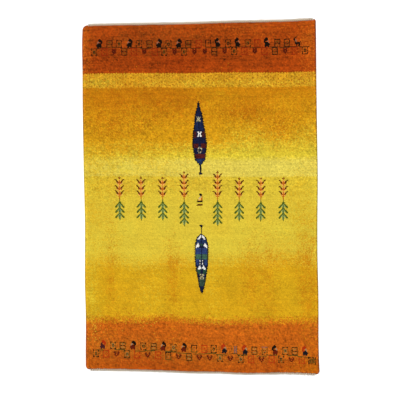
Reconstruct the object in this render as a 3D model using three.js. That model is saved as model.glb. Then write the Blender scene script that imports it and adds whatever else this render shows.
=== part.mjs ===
// A hand-knotted gabbeh rug, laid flat on the floor: one thick field of clipped wool pile on its
// woven ground, an overcast selvedge down each long side and a two-strand plait across each end.
// Millimetres, +Z up. The origin is on the floor under the middle of the rug, +Y runs along its
// length and +X across it.
import * as THREE from "three";

// Driving dimensions
const WIDTH = 1220; // nominal width over both selvedges
const LENGTH = 1830; // nominal length over both plaits
const GROUND_HEIGHT = 3; // the woven ground that the knots are tied on
const PILE_HEIGHT = 10; // the clipped wool above it
const SELVEDGE_WIDTH = 7;
const SELVEDGE_HEIGHT = 6;
const PLAIT_WIDTH = 9;
const PLAIT_HEIGHT = 5.6;
const PLAIT_PITCH = 10; // one strand's crossing to the next
const SEAM_GAP = 0.5; // between the field and the trims at its edge
const FIELD_STEP = 45; // largest spacing of the points on the field's top
const TRIM_STEP = 30; // spacing of the sections along a selvedge
const ARC_STEPS = 8; // sections round one corner

// The outer edge of the long sides, from the lower end to the upper: distance from the middle line.
const SIDES = [
  { y: -930, left: 601, right: 622 },
  { y: -830, left: 602, right: 617 },
  { y: -720, left: 601, right: 614 },
  { y: -600, left: 602, right: 614 },
  { y: -470, left: 606, right: 613 },
  { y: -330, left: 606, right: 609 },
  { y: -120, left: 606, right: 608 },
  { y: 90, left: 611, right: 610 },
  { y: 300, left: 615, right: 607 },
  { y: 500, left: 618, right: 604 },
  { y: 700, left: 619, right: 602 },
  { y: 800, left: 621, right: 601 },
  { y: 930, left: 619, right: 599 },
];

// The outer edge of the two ends, from left to right: distance from the middle line.
const ENDS = [
  { x: -620, lower: 906, upper: 893 },
  { x: -480, lower: 907, upper: 899 },
  { x: -350, lower: 909, upper: 902 },
  { x: -200, lower: 913, upper: 905 },
  { x: -50, lower: 919, upper: 908 },
  { x: 80, lower: 920, upper: 913 },
  { x: 210, lower: 926, upper: 917 },
  { x: 330, lower: 925, upper: 919 },
  { x: 460, lower: 924, upper: 922 },
  { x: 600, lower: 930, upper: 930 },
];

// Corner radii of the knotted field, inside the trims; across and along say which corner.
const CORNERS = [
  { across: -1, along: -1, radius: 13 },
  { across: 1, along: -1, radius: 12 },
  { across: 1, along: 1, radius: 5 },
  { across: -1, along: 1, radius: 20 },
];

// The field's flank, from the floor up: the pile flares out over the trims.
const FLANK = [
  { height: 0, out: 0 },
  { height: SELVEDGE_HEIGHT + 0.6, out: 0 },
  { height: SELVEDGE_HEIGHT + 1.6, out: 1.8 },
  { height: 10, out: 2.2 },
];

// The roll of the clipped pile at its rim: how far below full height it is, by distance inwards.
const RIM = [
  { inwards: 0, drop: 3 },
  { inwards: 2, drop: 1.5 },
  { inwards: 6, drop: 0.6 },
  { inwards: 14, drop: 0 },
  { inwards: 32, drop: 0 },
];

// Long low waves in the clipped surface.
const RIPPLES = [
  { height: 0.5, across: 470, along: 690, phase: 0.4 },
  { height: 0.35, across: -310, along: 410, phase: 2.1 },
];

// Cross-sections of the trims, from the floor edge next to the field outwards and back over the top:
// out is the share of the trim's width and up the share of its height.
const SELVEDGE_SECTION = [
  { out: 0, up: 0 },
  { out: 0.8, up: 0 },
  { out: 1, up: 0.3 },
  { out: 1, up: 0.65 },
  { out: 0.75, up: 0.95 },
  { out: 0.35, up: 1 },
  { out: 0, up: 0.85 },
];
const PLAIT_SECTION = [
  { out: 0, up: 0 },
  { out: 0.9, up: 0 },
  { out: 1, up: 0.45 },
  { out: 0.6, up: 1 },
  { out: 0, up: 0.85 },
];
const PLAIT_WAIST = 0.74; // a plait's width and height between two crossings, as a share

const HALF_ACROSS = WIDTH / 2 - SELVEDGE_WIDTH - SEAM_GAP; // the knotted field's half sizes
const HALF_ALONG = LENGTH / 2 - PLAIT_WIDTH - SEAM_GAP;

/** One column of a table at a place between its rows, on a smooth curve through them. */
function readTable(table, key, column, at) {
  const last = table.length - 1;
  const place = THREE.MathUtils.clamp(at, table[0][key], table[last][key]);
  const upper = Math.max(1, table.findIndex((row) => row[key] >= place));
  const slope = (i) => {
    const before = table[Math.max(i - 1, 0)];
    const after = table[Math.min(i + 1, last)];
    return (after[column] - before[column]) / (after[key] - before[key]);
  };
  const [a, b] = [table[upper - 1], table[upper]];
  const span = b[key] - a[key];
  const t = (place - a[key]) / span;
  const [t2, t3] = [t * t, t * t * t];
  return (
    a[column] * (2 * t3 - 3 * t2 + 1) +
    b[column] * (3 * t2 - 2 * t3) +
    span * (slope(upper - 1) * (t3 - 2 * t2 + t) + slope(upper) * (t3 - t2))
  );
}

/** Takes a point of the true rectangle to its place on the uneven rug. */
function toUneven(x, y) {
  const left = -readTable(SIDES, "y", "left", y);
  const right = readTable(SIDES, "y", "right", y);
  const lower = -readTable(ENDS, "x", "lower", x);
  const upper = readTable(ENDS, "x", "upper", x);
  return new THREE.Vector2(
    THREE.MathUtils.lerp(left, right, x / WIDTH + 0.5),
    THREE.MathUtils.lerp(lower, upper, y / LENGTH + 0.5),
  );
}

/** Rounds the field's corners: the square at each corner is drawn in to a quarter disc. */
function roundCorner(x, y, out) {
  for (const { across, along, radius } of CORNERS) {
    const round = radius + out;
    const dx = across * x - (HALF_ACROSS + out - round);
    const dy = along * y - (HALF_ALONG + out - round);
    if (dx > 0 && dy > 0) {
      const shrink = Math.max(dx, dy) / Math.hypot(dx, dy);
      return [
        across * (HALF_ACROSS + out - round + dx * shrink),
        along * (HALF_ALONG + out - round + dy * shrink),
      ];
    }
  }
  return [x, y];
}

/** Grid lines across a field of this half size: close at the rim and even between. */
function gridLines(half) {
  const rim = RIM.map(({ inwards }) => half - inwards);
  const inner = rim[rim.length - 1];
  const cells = Math.ceil((2 * inner) / FIELD_STEP);
  const middle = Array.from({ length: cells - 1 }, (_, i) => -inner + ((i + 1) * 2 * inner) / cells);
  return [...rim.map((line) => -line), ...middle, ...rim.toReversed()];
}

/** Height of the clipped pile over a point of the true rectangle. */
function pileTop(x, y) {
  const inwards = Math.min(HALF_ACROSS - Math.abs(x), HALF_ALONG - Math.abs(y));
  const drop = readTable(RIM, "inwards", "drop", inwards);
  const rise = RIPPLES.reduce(
    (sum, { height, across, along, phase }) =>
      sum + height * Math.sin(2 * Math.PI * (x / across + y / along) + phase),
    0,
  );
  return GROUND_HEIGHT + PILE_HEIGHT - drop + rise;
}

/** The knotted field: a box whose points are moved to the uneven outline, the flank and the top. */
function knottedField() {
  const acrossLines = gridLines(HALF_ACROSS);
  const alongLines = gridLines(HALF_ALONG);
  const cells = [acrossLines.length - 1, alongLines.length - 1, FLANK.length - 1];
  const geometry = new THREE.BoxGeometry(...cells, ...cells);
  const points = geometry.attributes.position;
  for (let i = 0; i < points.count; i++) {
    const column = Math.round(points.getX(i) + cells[0] / 2);
    const row = Math.round(points.getY(i) + cells[1] / 2);
    const level = Math.round(points.getZ(i) + cells[2] / 2);
    const onRim = column === 0 || column === cells[0] || row === 0 || row === cells[1];
    const out = onRim ? FLANK[level].out : 0;
    const [x, y] = [acrossLines[column], alongLines[row]];
    const grown = roundCorner(x * (1 + out / HALF_ACROSS), y * (1 + out / HALF_ALONG), out);
    const place = toUneven(...grown);
    points.setXYZ(i, place.x, place.y, level === cells[2] ? pileTop(x, y) : FLANK[level].height);
  }
  geometry.computeVertexNormals();
  return geometry;
}

/** A station on the true outline: a point with the direction out of the field. */
function station(x, y, outX, outY) {
  return { x, y, outX, outY };
}

/** Stations round one corner's quarter arc, from the end of the rug to its side. */
function cornerStations({ across, along, radius }) {
  return Array.from({ length: ARC_STEPS + 1 }, (_, i) => {
    const angle = (Math.PI / 2) * (1 - i / ARC_STEPS);
    const [outX, outY] = [across * Math.cos(angle), along * Math.sin(angle)];
    return station(
      across * (HALF_ACROSS - radius) + radius * outX,
      along * (HALF_ALONG - radius) + radius * outY,
      outX,
      outY,
    );
  });
}

/** The corner on this side and end. */
function cornerAt(across, along) {
  return CORNERS.find((corner) => corner.across === across && corner.along === along);
}

/** Stations up one long side, with the corner at each end of it. */
function sideStations(across) {
  const [lower, upper] = [cornerAt(across, -1), cornerAt(across, 1)];
  const from = -HALF_ALONG + lower.radius;
  const to = HALF_ALONG - upper.radius;
  const steps = Math.ceil((to - from) / TRIM_STEP);
  const straight = Array.from({ length: steps - 1 }, (_, i) =>
    station(across * HALF_ACROSS, from + ((i + 1) * (to - from)) / steps, across, 0),
  );
  return [...cornerStations(lower), ...straight, ...cornerStations(upper).toReversed()];
}

/** Stations across one end between its corners, two to each crossing of the plait. */
function endStations(along) {
  const from = -HALF_ACROSS + cornerAt(-1, along).radius + SEAM_GAP;
  const to = HALF_ACROSS - cornerAt(1, along).radius - SEAM_GAP;
  const steps = 2 * Math.round((to - from) / PLAIT_PITCH);
  return Array.from({ length: steps + 1 }, (_, i) =>
    station(from + (i * (to - from)) / steps, along * HALF_ALONG, 0, along),
  );
}

/** A closed strip along the stations: section(i) gives the corners of its i-th cross-section. */
function sweptStrip(stations, section) {
  const corners = section(0).length;
  const places = stations.flatMap(({ x, y, outX, outY }, i) =>
    section(i).flatMap(({ out, up }) => {
      const reach = SEAM_GAP + out;
      const place = toUneven(x + reach * outX, y + reach * outY);
      return [place.x, place.y, up];
    }),
  );
  const faces = [];
  for (let i = 0; i < stations.length - 1; i++) {
    for (let k = 0; k < corners; k++) {
      const [a, b] = [i * corners + k, i * corners + ((k + 1) % corners)];
      faces.push(a, b, b + corners, a, b + corners, a + corners);
    }
  }
  const end = (stations.length - 1) * corners;
  for (let k = 1; k < corners - 1; k++) {
    faces.push(0, k + 1, k, end, end + k, end + k + 1);
  }
  const geometry = new THREE.BufferGeometry();
  geometry.setAttribute("position", new THREE.Float32BufferAttribute(places, 3));
  geometry.setIndex(faces);
  geometry.computeVertexNormals();
  return geometry;
}

/** The overcast cord down one long side and round its two corners. */
function selvedge(across) {
  const section = SELVEDGE_SECTION.map(({ out, up }) => ({
    out: out * SELVEDGE_WIDTH,
    up: up * SELVEDGE_HEIGHT,
  }));
  const stations = sideStations(across);
  return sweptStrip(across < 0 ? stations : stations.toReversed(), () => section);
}

/** The two-strand plait across one end, thick at each crossing and thin between. */
function endPlait(along) {
  const section = (i) => {
    const share = i % 2 ? 1 : PLAIT_WAIST;
    return PLAIT_SECTION.map(({ out, up }) => ({
      out: out * PLAIT_WIDTH * share,
      up: up * PLAIT_HEIGHT * share,
    }));
  };
  const stations = endStations(along);
  return sweptStrip(along > 0 ? stations : stations.toReversed(), section);
}

const pileWool = new THREE.MeshStandardMaterial({ color: 0xd3a024, roughness: 0.95, metalness: 0 });
const edgeWool = new THREE.MeshStandardMaterial({ color: 0x9a6f26, roughness: 0.9, metalness: 0 });
const plaitWool = new THREE.MeshStandardMaterial({ color: 0xb7aca0, roughness: 0.9, metalness: 0 });

/** A named mesh. */
function piece(name, geometry, material) {
  const mesh = new THREE.Mesh(geometry, material);
  mesh.name = name;
  return mesh;
}

const rug = new THREE.Group();
rug.add(
  piece("pile_field", knottedField(), pileWool),
  piece("selvedge_left", selvedge(-1), edgeWool),
  piece("selvedge_right", selvedge(1), edgeWool),
  piece("end_plait_lower", endPlait(-1), plaitWool),
  piece("end_plait_upper", endPlait(1), plaitWool),
);

export default rug;
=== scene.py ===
"""The looks of a hand-knotted gabbeh rug that lies flat on the floor.

The rug is dressed as a weaver makes it. A woven ground carries one clipped tuft of wool for each
knot, the knots are coloured from a few lots of dyed yarn with small charted figures, a cord
overcast in wool closes each long side, and a twined plait of two yarns closes each end.
"""

from __future__ import annotations

import logging
import math
from collections.abc import Callable
from dataclasses import dataclass, field
from enum import Enum

import bpy
import numpy as np
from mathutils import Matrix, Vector
from mathutils.bvhtree import BVHTree

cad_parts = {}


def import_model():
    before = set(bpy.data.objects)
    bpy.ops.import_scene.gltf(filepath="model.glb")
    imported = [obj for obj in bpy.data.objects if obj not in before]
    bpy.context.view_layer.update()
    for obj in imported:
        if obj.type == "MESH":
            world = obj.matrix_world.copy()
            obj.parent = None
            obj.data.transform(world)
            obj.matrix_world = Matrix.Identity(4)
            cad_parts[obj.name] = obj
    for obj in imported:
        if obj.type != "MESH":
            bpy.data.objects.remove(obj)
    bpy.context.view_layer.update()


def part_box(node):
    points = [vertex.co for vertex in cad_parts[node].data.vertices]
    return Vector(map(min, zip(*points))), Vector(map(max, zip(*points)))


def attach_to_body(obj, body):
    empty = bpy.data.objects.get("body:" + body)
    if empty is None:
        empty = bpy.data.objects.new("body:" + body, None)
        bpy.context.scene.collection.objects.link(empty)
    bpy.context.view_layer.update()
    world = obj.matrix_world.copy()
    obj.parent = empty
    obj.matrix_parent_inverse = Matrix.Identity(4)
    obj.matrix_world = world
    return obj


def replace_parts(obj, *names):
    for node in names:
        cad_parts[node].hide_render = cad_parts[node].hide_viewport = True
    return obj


LOG = logging.getLogger("gabbeh")
MM = 0.001

# What is stored on the points and corners of the pieces, where it isn't one value.
KINDS = {
    "dye": "FLOAT_COLOR",
    "lean": "FLOAT_VECTOR",
    "spot": "FLOAT_VECTOR",
    "cell": "FLOAT_VECTOR",
    "way": "FLOAT_VECTOR",
    "OFBake": "FLOAT2",
}


class Dye(Enum):
    """The dyed yarns, each with its colour in daylight as red, green and blue from 0 to 255."""

    RUST = (155, 61, 8)
    DEEP_RUST = (137, 47, 5)
    ORANGE = (183, 91, 17)
    DEEP_ORANGE = (162, 74, 11)
    BURNT = (170, 95, 6)
    AMBER = (184, 119, 10)
    HONEY = (194, 140, 17)
    GOLD = (198, 153, 21)
    PALE_GOLD = (194, 143, 29)
    PRIMROSE = (203, 180, 48)
    OCHRE = (205, 178, 49)
    CORN = (205, 180, 53)
    STRAW = (208, 188, 75)
    FLECK = (150, 84, 14)
    CHESTNUT = (122, 58, 12)
    HAZEL = (140, 86, 22)
    SOOT = (16, 9, 6)
    OLIVE = (88, 66, 18)
    SAGE = (128, 110, 56)
    DUSTY = (146, 92, 66)
    UMBER = (84, 38, 6)
    MAROON = (78, 28, 24)
    DIM_RED = (130, 34, 5)
    RED = (160, 46, 8)
    GARNET = (92, 24, 6)
    DEEP_GARNET = (106, 34, 8)
    BARK = (62, 34, 6)
    SAND = (156, 122, 90)
    MAUVE = (112, 82, 74)
    PLUM = (62, 25, 28)
    EAR = (174, 95, 16)
    PEACH = (226, 160, 76)
    NAVY = (17, 25, 54)
    INK = (14, 18, 24)
    BLUE = (40, 58, 102)
    DEEP_BLUE = (21, 34, 68)
    SLATE = (30, 48, 84)
    TEAL = (70, 86, 24)
    DEEP_TEAL = (48, 66, 54)
    LEAF = (134, 148, 84)
    FERN = (58, 90, 72)
    MOSS = (40, 72, 58)
    IVORY = (222, 220, 212)
    CREAM = (172, 166, 130)
    WALNUT = (132, 110, 84)
    BLEACHED = (238, 222, 198)
    UNDYED = (206, 196, 178)

    @property
    def linear(self) -> np.ndarray:
        """The colour as linear light from 0 to 1."""
        value = np.array(self.value, float) / 255
        return np.where(value <= 0.04045, value / 12.92, ((value + 0.055) / 1.055) ** 2.4)

    @property
    def opaque(self) -> tuple[float, ...]:
        """The same as a node takes it, with its alpha."""
        return (*self.linear, 1.0)


def operator(operation: str, mirrored: bool = False) -> Callable[..., Signal]:
    """Makes a method of a signal that adds one Math node.

    Args:
        operation: What the node does.
        mirrored: Whether the signal is the last term instead of the first.

    Returns:
        The method, which takes the other terms.
    """

    def method(signal: Signal, *others: Signal | float) -> Signal:
        """Adds the node."""
        terms = (*others, signal) if mirrored else (signal, *others)
        return signal.bench.node("ShaderNodeMath", {"operation": operation}, dict(enumerate(terms)))

    return method


class Signal:
    """An output socket on which Python's operators add Math nodes."""

    def __init__(self, bench: Bench, socket: bpy.types.NodeSocket) -> None:
        """Keeps the socket and the bench that adds nodes beside it."""
        self.bench = bench
        self.socket = socket

    __add__ = operator("ADD")
    __radd__ = operator("ADD", mirrored=True)
    __sub__ = operator("SUBTRACT")
    __rsub__ = operator("SUBTRACT", mirrored=True)
    __mul__ = operator("MULTIPLY")
    __rmul__ = operator("MULTIPLY", mirrored=True)
    __truediv__ = operator("DIVIDE")
    __mod__ = operator("FLOORED_MODULO")
    sine = operator("SINE")
    cosine = operator("COSINE")
    size = operator("ABSOLUTE")
    power = operator("POWER")


Value = Signal | float | int | bool | str | tuple | bpy.types.ID


class Bench:
    """Adds nodes to one tree."""

    def __init__(self, tree: bpy.types.NodeTree) -> None:
        """Keeps the tree."""
        self.tree = tree

    @staticmethod
    def _socket(sockets: bpy.types.bpy_prop_collection, key: str | int) -> bpy.types.NodeSocket:
        """Finds a socket by its place, its identifier or its name."""
        if isinstance(key, int):
            return sockets[key]
        return next((s for s in sockets if s.identifier == key), None) or sockets[key]

    def node(
        self,
        kind: str,
        settings: dict[str, object] | None = None,
        inputs: dict[str | int, Value] | None = None,
        out: str | int = 0,
    ) -> Signal:
        """Adds a node, sets it and links it.

        Args:
            kind: The node's type.
            settings: Its properties, which are set before its sockets.
            inputs: A value or a signal for each input, by place, identifier or name.
            out: Which output is wanted.

        Returns:
            The wanted output.
        """
        made = self.tree.nodes.new(kind)
        for name, value in (settings or {}).items():
            setattr(made, name, value)
        for key, value in (inputs or {}).items():
            socket = self._socket(made.inputs, key)
            if isinstance(value, Signal):
                self.tree.links.new(value.socket, socket)
            else:
                socket.default_value = value
        return Signal(self, self._socket(made.outputs, out) if made.outputs else None)

    def vector(self, operation: str, *terms: Signal | tuple, out: str = "Vector") -> Signal:
        """Adds one Vector Math node over the terms."""
        settings = {"operation": operation}
        return self.node("ShaderNodeVectorMath", settings, dict(enumerate(terms)), out)

    def stretched(self, vector: Signal, factor: Signal) -> Signal:
        """A vector times a value."""
        inputs = {"Vector": vector, "Scale": factor}
        return self.node("ShaderNodeVectorMath", {"operation": "SCALE"}, inputs)

    def combined(self, x: Value, y: Value, z: Value) -> Signal:
        """A vector from its three parts."""
        return self.node("ShaderNodeCombineXYZ", inputs={"X": x, "Y": y, "Z": z})

    def part(self, vector: Signal, axis: str) -> Signal:
        """One part of a vector."""
        return self.node("ShaderNodeSeparateXYZ", inputs={"Vector": vector}, out=axis)

    def mixed(self, factor: Value, first: Value, second: Value, way: str = "MIX") -> Signal:
        """A colour between two colours, as far from the first as the factor says."""
        return self.node(
            "ShaderNodeMix",
            {"data_type": "RGBA", "blend_type": way},
            {"Factor_Float": factor, "A_Color": first, "B_Color": second},
            "Result_Color",
        )


class Surface(Bench):
    """A material's tree with one Principled shader."""

    def __init__(self, name: str, fixed: dict[str, Value]) -> None:
        """Makes the material, with the values that are the same all over its surface.

        Args:
            name: The material's name.
            fixed: Those values, by the shader's sockets.
        """
        self.material = bpy.data.materials.new(name)
        self.material.use_nodes = True
        super().__init__(self.material.node_tree)
        self.tree.nodes.clear()
        shader = self.node("ShaderNodeBsdfPrincipled", inputs=fixed)
        self.shader = shader.socket.node
        self.node("ShaderNodeOutputMaterial", inputs={"Surface": shader})

    def place(self) -> Signal:
        """The point's place on the rug, in metres."""
        return self.node("ShaderNodeTexCoord", out="Object")

    def attribute(self, name: str, out: str = "Fac") -> Signal:
        """A value that is stored on the piece."""
        return self.node("ShaderNodeAttribute", {"attribute_name": name}, out=out)

    def noise(self, vector: Signal, scale: float, detail: float = 2.0) -> Signal:
        """Smooth noise from 0 to 1, of this many lumps to the metre."""
        inputs = {"Vector": vector, "Scale": scale, "Detail": detail}
        return self.node("ShaderNodeTexNoise", inputs=inputs)

    def ramp(self, *terms: Signal | float) -> Signal:
        """Maps a value from low and high to two other values, and stops at them."""
        return self.node("ShaderNodeMapRange", {"clamp": True}, dict(enumerate(terms)))

    def grey(self, light: Signal) -> Signal:
        """A colour that is the same in red, green and blue."""
        return self.combined(light, light, light)

    def dyed(self, light: Signal) -> Signal:
        """The dye that is stored on the piece, darker where there is less light."""
        return self.mixed(1.0, self.attribute("dye", "Color"), self.grey(light), "MULTIPLY")

    def relief(self, height: Signal, depth: float) -> Signal:
        """The normal of a surface that is raised by a height from 0 to 1, this many metres deep."""
        return self.node("ShaderNodeBump", inputs={"Height": height, "Distance": depth})

    def finished(
        self, colour: Signal, roughness: Signal, normal: Signal | None = None
    ) -> bpy.types.Material:
        """Links what changes over the surface to the shader, and gives the material."""
        for socket, value in (("Base Color", colour), ("Roughness", roughness), ("Normal", normal)):
            if value:
                self.tree.links.new(value.socket, self.shader.inputs[socket])
        return self.material


@dataclass(frozen=True)
class PileWool:
    """Clipped wool, with painted shade that darkens it towards its roots, and soft at its tips."""

    roughness: float = 0.88
    gloss: float = 0.04
    sheen: float = 0.12
    sheen_tint: tuple[float, float, float, float] = (1.0, 0.62, 0.25, 1.0)
    painted_root_shade: float = 0.34
    fibres: float = 2600.0
    relief: float = 0.0005

    def material(self) -> bpy.types.Material:
        """Makes the wool: each tuft has its knot's dye, painted shade darkens it down towards its root,
        and fibres show at its tip.
        """
        fixed = {
            "Sheen Weight": self.sheen,
            "Sheen Roughness": 0.5,
            "Sheen Tint": self.sheen_tint,
            "Specular IOR Level": self.gloss,
        }
        wool = Surface("pile_wool", fixed)
        fibre = wool.noise(wool.vector("MULTIPLY", wool.place(), (1.0, 1.0, 0.25)), self.fibres, 3.0)
        strands = wool.ramp(fibre, 0.3, 0.7, 0.74, 1.26)
        # Painted shade: the dye is darkened from the tip down to the root, where the tufts shade each
        # other. strands adds the fibres' own random tone.
        light = wool.ramp(wool.attribute("tip"), 0.1, 0.95, self.painted_root_shade, 1.0) * strands
        roughness = self.roughness + 0.12 * fibre
        return wool.finished(wool.dyed(light), roughness, wool.relief(fibre, self.relief))


@dataclass(frozen=True)
class WovenBack:
    """The back of the rug: the collars of the knots in rows, with weft showing between them."""

    knot: float
    roughness: float = 0.9
    relief: float = 0.0007

    def material(self) -> bpy.types.Material:
        """Makes the back: a bead for each half knot, with painted shade where it falls away, and a pale
        line of weft between two rows.
        """
        back = Surface("woven_back", {"Sheen Weight": 0.15, "Sheen Roughness": 0.6})
        place = back.place()
        turn = math.pi / self.knot
        across = (back.part(place, "X") * (2 * turn)).sine().size()
        along = (back.part(place, "Y") * turn).sine().size()
        bead = (across * 0.35 + 0.65) * along.power(0.5)
        fibre = back.noise(place, 900.0)
        weft = back.ramp(along, 0.12, 0.32, 1.0, 0.0)
        # Painted shade: each knot's dye is darkened where its bead falls away towards the next.
        knots = back.dyed(back.ramp(bead, 0.2, 0.9, 0.45, 0.95) * (0.85 + 0.3 * fibre))
        colour = back.mixed(weft * 0.6, knots, (*Dye.UNDYED.linear * 0.5, 1.0))
        roughness = self.roughness + 0.08 * fibre
        return back.finished(colour, roughness, back.relief(bead + fibre * 0.3, self.relief))


@dataclass(frozen=True)
class TwistedWool:
    """Spun yarn with its plies and stray fibres, coloured by what is stored on the piece."""

    name: str
    ply: float
    roughness: float = 0.85
    relief: float = 0.0004

    def material(self) -> bpy.types.Material:
        """Makes the yarn, with slanting plies, painted shade in the groove where two turns meet, and
        painted light and shade along each ply.
        """
        fixed = {"Sheen Weight": 0.06, "Sheen Roughness": 0.5, "Specular IOR Level": 0.1}
        yarn = Surface(self.name, fixed)
        place = yarn.place()
        lean = yarn.part(place, "X") + yarn.part(place, "Y") + yarn.part(place, "Z") * 1.5
        ply = (lean * (2 * math.pi / self.ply)).sine() * 0.5 + 0.5
        fibre = yarn.noise(place, 1400.0)
        # Painted shade: the wool is darkened where "crest" is low, in the groove between two turns of the
        # cord and where one strand of the plait runs under the other. Each ply's ridge is painted a
        # little lighter.
        groove = yarn.ramp(yarn.attribute("crest"), 0.0, 1.0, 0.6, 1.0)
        colour = yarn.dyed(groove * (0.8 + 0.12 * ply + 0.16 * fibre))
        roughness = self.roughness + 0.1 * fibre
        return yarn.finished(colour, roughness, yarn.relief(ply * 0.6 + fibre * 0.4, self.relief))


@dataclass(frozen=True)
class StudioPaper:
    """Plain pale paper under the rug."""

    white: float = 0.85

    def material(self) -> bpy.types.Material:
        """Makes the paper, with the faintest grain."""
        paper = Surface("studio_paper", {"Specular IOR Level": 0.2})
        grain = paper.noise(paper.place(), 40.0)
        return paper.finished(paper.grey(self.white + 0.01 * grain), 0.9 + 0.05 * grain)


class Recipe(Bench):
    """A Geometry Nodes tree with named inputs, and the way to run it on a mesh."""

    def __init__(self, title: str, values: dict[str, float | int]) -> None:
        """Makes the tree, with one geometry going in and one coming out.

        Args:
            title: The tree's name.
            values: Its named inputs and what they are set to.
        """
        tree = bpy.data.node_groups.new(title, "GeometryNodeTree")
        super().__init__(tree)
        for way in ("INPUT", "OUTPUT"):
            tree.interface.new_socket("Geometry", in_out=way, socket_type="NodeSocketGeometry")
        self.values = values
        self.keys = {}
        for name, value in values.items():
            kind = "NodeSocketInt" if isinstance(value, int) else "NodeSocketFloat"
            made = tree.interface.new_socket(name, in_out="INPUT", socket_type=kind)
            self.keys[name] = made.identifier
        self.entry = tree.nodes.new("NodeGroupInput")

    def given(self, name: str = "Geometry") -> Signal:
        """What goes in under a name."""
        return Signal(self, self.entry.outputs[name])

    def stored(self, name: str) -> Signal:
        """Reads an attribute of the geometry."""
        settings = {"data_type": KINDS.get(name, "FLOAT")}
        return self.node("GeometryNodeInputNamedAttribute", settings, {"Name": name}, "Attribute")

    def store(self, geometry: Signal, name: str, value: Value, domain: str = "POINT") -> Signal:
        """Writes an attribute on the geometry."""
        inputs = {"Geometry": geometry, "Name": name, "Value": value}
        settings = {"data_type": KINDS.get(name, "FLOAT"), "domain": domain}
        return self.node("GeometryNodeStoreNamedAttribute", settings, inputs)

    def without(self, geometry: Signal, *names: str) -> Signal:
        """Takes attributes that have served their use off the geometry."""
        for name in names:
            inputs = {"Geometry": geometry, "Name": name}
            geometry = self.node("GeometryNodeRemoveAttribute", inputs=inputs)
        return geometry

    def random(self, low: float, high: float, seed: Signal) -> Signal:
        """A random value for each point, the same on every run."""
        inputs = {"Min_001": low, "Max_001": high, "Seed": seed}
        return self.node("FunctionNodeRandomValue", {"data_type": "FLOAT"}, inputs, "Value_001")

    def moved(self, geometry: Signal, offset: Signal) -> Signal:
        """Moves each point of the geometry."""
        return self.node("GeometryNodeSetPosition", inputs={"Geometry": geometry, "Offset": offset})

    def real(self, geometry: Signal) -> Signal:
        """Makes plain geometry of instances."""
        return self.node("GeometryNodeRealizeInstances", inputs={"Geometry": geometry})

    def stood(self, points: Signal, instance: Signal, **inputs: Signal) -> Signal:
        """Stands an instance on each point."""
        inputs |= {"Points": points, "Instance": instance}
        return self.node("GeometryNodeInstanceOnPoints", inputs=inputs)

    def evenly(self, line: Signal, step: Signal) -> Signal:
        """Gives a line a point at each step along it."""
        inputs = {"Curve": line, "Length": step}
        return self.node("GeometryNodeResampleCurve", {"mode": "LENGTH"}, inputs)

    def swept(self, line: Signal, sides: int, radius: Value, *size: Value, scale: Value = 1.0) -> Signal:
        """Runs a round section along a line.

        Args:
            line: The line.
            sides: How many sides the section has.
            radius: How large it is.
            size: What it is stretched by across and along, where it isn't round.
            scale: A factor for each point of the line.

        Returns:
            The closed tube.
        """
        inputs = {"Resolution": sides, "Radius": radius}
        ring = self.node("GeometryNodeCurvePrimitiveCircle", inputs=inputs)
        if size:
            inputs = {"Geometry": ring, "Scale": self.combined(*size, 1.0)}
            ring = self.node("GeometryNodeTransform", inputs=inputs)
        inputs = {"Curve": line, "Profile Curve": ring, "Scale": scale, "Fill Caps": True}
        return self.node("GeometryNodeCurveToMesh", inputs=inputs)

    def joined(self, parts: list[Signal]) -> Signal:
        """Joins several geometries."""
        join = self.node("GeometryNodeJoinGeometry")
        for part in parts:
            self.tree.links.new(part.socket, join.socket.node.inputs[0])
        return join

    def close(self, geometry: Signal, material: bpy.types.Material) -> None:
        """Ends the tree in real, smooth, finished geometry."""
        smooth = self.real(self.node("GeometryNodeSetShadeSmooth", inputs={"Geometry": geometry}))
        inputs = {"Geometry": smooth, "Material": material}
        dressed = self.node("GeometryNodeSetMaterial", inputs=inputs)
        self.node("NodeGroupOutput", inputs={"Geometry": dressed})

    def run(self, source: bpy.types.Mesh, name: str, **values: Value) -> bpy.types.Object:
        """Runs the tree on a mesh.

        Args:
            source: The mesh that goes in. It is removed afterwards.
            name: The new piece's name.
            values: Named inputs that are set to something else this time.

        Returns:
            The new piece, a plain mesh at the origin.
        """
        holder = shown("holder", source)
        modifier = holder.modifiers.new("recipe", "NODES")
        modifier.node_group = self.tree
        for key, value in (self.values | values).items():
            modifier[self.keys[key]] = value
        graph = bpy.context.evaluated_depsgraph_get()
        mesh = bpy.data.meshes.new_from_object(
            holder.evaluated_get(graph), preserve_all_data_layers=True, depsgraph=graph
        )
        holder.modifiers.remove(modifier)
        bpy.data.objects.remove(holder)
        bpy.data.meshes.remove(source)
        mesh.name = name
        return shown(name, mesh)


def shown(name: str, data: bpy.types.ID) -> bpy.types.Object:
    """Puts a mesh, a lamp or a camera in the scene as an object at the origin."""
    piece = bpy.data.objects.new(name, data)
    bpy.context.scene.collection.objects.link(piece)
    return piece


def dressed(piece: bpy.types.Object, node: str, slot: str) -> bpy.types.Object:
    """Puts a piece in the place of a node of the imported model, on the rug's own body."""
    LOG.info("%s: %d faces", piece.name, len(piece.data.polygons))
    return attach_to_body(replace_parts(piece, node), "root")


def line_mesh(route: np.ndarray) -> bpy.types.Mesh:
    """A mesh of one open line over the floor."""
    mesh = bpy.data.meshes.new("line")
    points = np.column_stack((route, np.zeros(len(route))))
    mesh.from_pydata(points.tolist(), [(i, i + 1) for i in range(len(route) - 1)], [])
    return mesh


def attach(mesh: bpy.types.Mesh, name: str, values: np.ndarray, domain: str = "POINT") -> None:
    """Stores one value for each point or face corner of a mesh.

    Args:
        mesh: The mesh.
        name: The attribute's name.
        values: One row for each of them.
        domain: POINT or CORNER.
    """
    kind = KINDS.get(name, "FLOAT")
    made = mesh.attributes.new(name, kind, domain)
    slot = {"FLOAT": "value", "FLOAT_VECTOR": "vector", "FLOAT_COLOR": "color"}[kind]
    if kind == "FLOAT_COLOR":
        values = np.column_stack((values, np.ones(len(values))))
    made.data.foreach_set(slot, np.ascontiguousarray(values, np.float32).ravel())


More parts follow.
